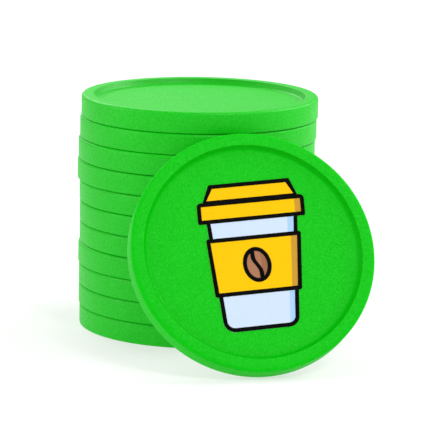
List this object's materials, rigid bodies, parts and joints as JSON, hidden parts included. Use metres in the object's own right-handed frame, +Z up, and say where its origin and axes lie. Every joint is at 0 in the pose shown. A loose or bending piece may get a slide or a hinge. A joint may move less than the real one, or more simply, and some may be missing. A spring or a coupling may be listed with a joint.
{
  "type": "stack of round plastic tokens",
  "caption": "Stack of round moulded plastic tokens with raised rims, with a printed token leaning against its front.",
  "frame": {"origin": "on the floor, under the middle of the box around the whole set", "axes": "+Z up, the leaning token stands in front of the stack on the -Y side, +X to its right as seen from the front"},
  "size_m": [0.036, 0.0448, 0.0286],
  "materials": {
    "green_plastic": "fine moulded grain, soft satin sheen",
    "ink_yellow": "printed ink film, satin",
    "ink_gold": "printed ink film, satin",
    "ink_pale_blue": "printed ink film, satin",
    "ink_blue": "printed ink film, satin",
    "ink_brown": "printed ink film, satin",
    "ink_dark_brown": "printed ink film, satin",
    "ink_black": "printed ink film, satin"
  },
  "bodies": {
    "token_01": {"token_01_rim": "green_plastic", "token_01_web": "green_plastic"},
    "token_02": {"token_02_rim": "green_plastic", "token_02_web": "green_plastic"},
    "token_03": {"token_03_rim": "green_plastic", "token_03_web": "green_plastic"},
    "token_04": {"token_04_rim": "green_plastic", "token_04_web": "green_plastic"},
    "token_05": {"token_05_rim": "green_plastic", "token_05_web": "green_plastic"},
    "token_06": {"token_06_rim": "green_plastic", "token_06_web": "green_plastic"},
    "token_07": {"token_07_rim": "green_plastic", "token_07_web": "green_plastic"},
    "token_08": {"token_08_rim": "green_plastic", "token_08_web": "green_plastic"},
    "token_09": {"token_09_rim": "green_plastic", "token_09_web": "green_plastic"},
    "token_10": {"token_10_rim": "green_plastic", "token_10_web": "green_plastic"},
    "token_11": {"token_11_rim": "green_plastic", "token_11_web": "green_plastic"},
    "leaning_token": {"leaning_rim": "green_plastic", "leaning_web": "green_plastic", "print_yellow": "ink_yellow", "print_gold": "ink_gold", "print_pale_blue": "ink_pale_blue", "print_blue": "ink_blue", "print_brown": "ink_brown", "print_dark_brown": "ink_dark_brown", "print_outline": "ink_black"}
  },
  "joints": [
    {"name": "lift_02", "type": "slide", "parent": "token_01", "child": "token_02", "axis": [0, 0, 1], "range_m": [0, 0.006]},
    {"name": "lift_03", "type": "slide", "parent": "token_02", "child": "token_03", "axis": [0, 0, 1], "range_m": [0, 0.006]},
    {"name": "lift_04", "type": "slide", "parent": "token_03", "child": "token_04", "axis": [0, 0, 1], "range_m": [0, 0.006]},
    {"name": "lift_05", "type": "slide", "parent": "token_04", "child": "token_05", "axis": [0, 0, 1], "range_m": [0, 0.006]},
    {"name": "lift_06", "type": "slide", "parent": "token_05", "child": "token_06", "axis": [0, 0, 1], "range_m": [0, 0.006]},
    {"name": "lift_07", "type": "slide", "parent": "token_06", "child": "token_07", "axis": [0, 0, 1], "range_m": [0, 0.006]},
    {"name": "lift_08", "type": "slide", "parent": "token_07", "child": "token_08", "axis": [0, 0, 1], "range_m": [0, 0.006]},
    {"name": "lift_09", "type": "slide", "parent": "token_08", "child": "token_09", "axis": [0, 0, 1], "range_m": [0, 0.006]},
    {"name": "lift_10", "type": "slide", "parent": "token_09", "child": "token_10", "axis": [0, 0, 1], "range_m": [0, 0.006]},
    {"name": "lift_11", "type": "slide", "parent": "token_10", "child": "token_11", "axis": [0, 0, 1], "range_m": [0, 0.006]},
    {"name": "lean_tip", "type": "hinge", "parent": "token_01", "child": "leaning_token", "pos_m": [0.00511, -0.0196, 0], "axis": [0.9703, 0.2419, 0], "range_deg": [0, 29]}
  ]
}
